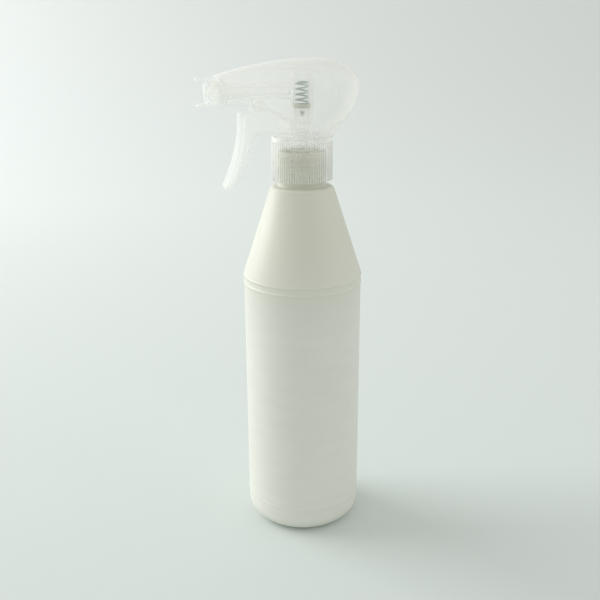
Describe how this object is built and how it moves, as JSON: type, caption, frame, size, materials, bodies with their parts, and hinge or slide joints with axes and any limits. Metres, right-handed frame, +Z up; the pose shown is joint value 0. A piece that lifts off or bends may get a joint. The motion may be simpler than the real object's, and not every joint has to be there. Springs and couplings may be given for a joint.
{
  "type": "trigger spray bottle",
  "caption": "Round white bottle with a conical shoulder and a screw-on translucent trigger sprayer whose trigger lifts a spring-returned upright pump.",
  "frame": {"origin": "centre of the bottle's base, on the plane that it stands on", "axes": "+Z up along the bottle's axis; the nozzle sprays along -X"},
  "size_m": [0.0894, 0.0666, 0.2672],
  "materials": {
    "white_bottle": "satin white blown polyethylene",
    "milky_plastic": "natural translucent polypropylene",
    "clear_tube": "natural translucent polyethylene",
    "soft_white": "soft white polyethylene",
    "seal_natural": "soft natural elastomer",
    "cup_olive": "olive rubber",
    "steel": "drawn stainless wire"
  },
  "bodies": {
    "bottle_body": {"bottle": "white_bottle"},
    "sprayer": {"pump_body": "milky_plastic", "shroud": "milky_plastic", "cylinder_cap": "milky_plastic", "return_spring": "steel", "stem_seal": "seal_natural", "outlet_valve": "seal_natural", "spinner": "soft_white", "nozzle_seal": "seal_natural", "neck_gasket": "seal_natural", "vent_valve": "seal_natural", "tube_holder": "milky_plastic", "dip_tube": "clear_tube"},
    "screw_collar": {"collar": "milky_plastic"},
    "trigger_lever": {"trigger": "milky_plastic"},
    "pump_plunger": {"plunger": "milky_plastic", "piston_cup": "cup_olive", "ball_cage": "soft_white"},
    "ball_valve": {"inlet_ball": "steel"},
    "nozzle": {"nozzle_cap": "milky_plastic"}
  },
  "joints": [
    {"name": "sprayer_rise", "type": "slide", "parent": "bottle_body", "child": "sprayer", "axis": [0, 0, 1], "range_m": [0, 0.0054]},
    {"name": "collar_turn", "type": "hinge", "parent": "sprayer", "child": "screw_collar", "pos_m": [0, 0, 0.215], "axis": [0, 0, 1], "range_deg": [0, 540]},
    {"name": "trigger_pull", "type": "hinge", "parent": "sprayer", "child": "trigger_lever", "pos_m": [-0.024, 0, 0.2428], "axis": [0, -1, 0], "range_deg": [0, 18], "stiffness_Nm_per_rad": 0.6, "springref_deg": -6.88},
    {"name": "plunger_lift", "type": "slide", "parent": "sprayer", "child": "pump_plunger", "axis": [0, 0, 1], "range_m": [0, 0.0073], "deforming": ["return_spring"]},
    {"name": "ball_lift", "type": "slide", "parent": "pump_plunger", "child": "ball_valve", "axis": [0, 0, 1], "range_m": [0, 0.001]},
    {"name": "nozzle_turn", "type": "hinge", "parent": "sprayer", "child": "nozzle", "pos_m": [-0.05, 0, 0.2504], "axis": [-1, 0, 0], "continuous": true}
  ],
  "couplings": [
    {"joint": "collar_turn", "follows": "sprayer_rise", "rad_per_m": 1745.3},
    {"joint": "trigger_pull", "follows": "plunger_lift", "rad_per_m": 43.035}
  ]
}
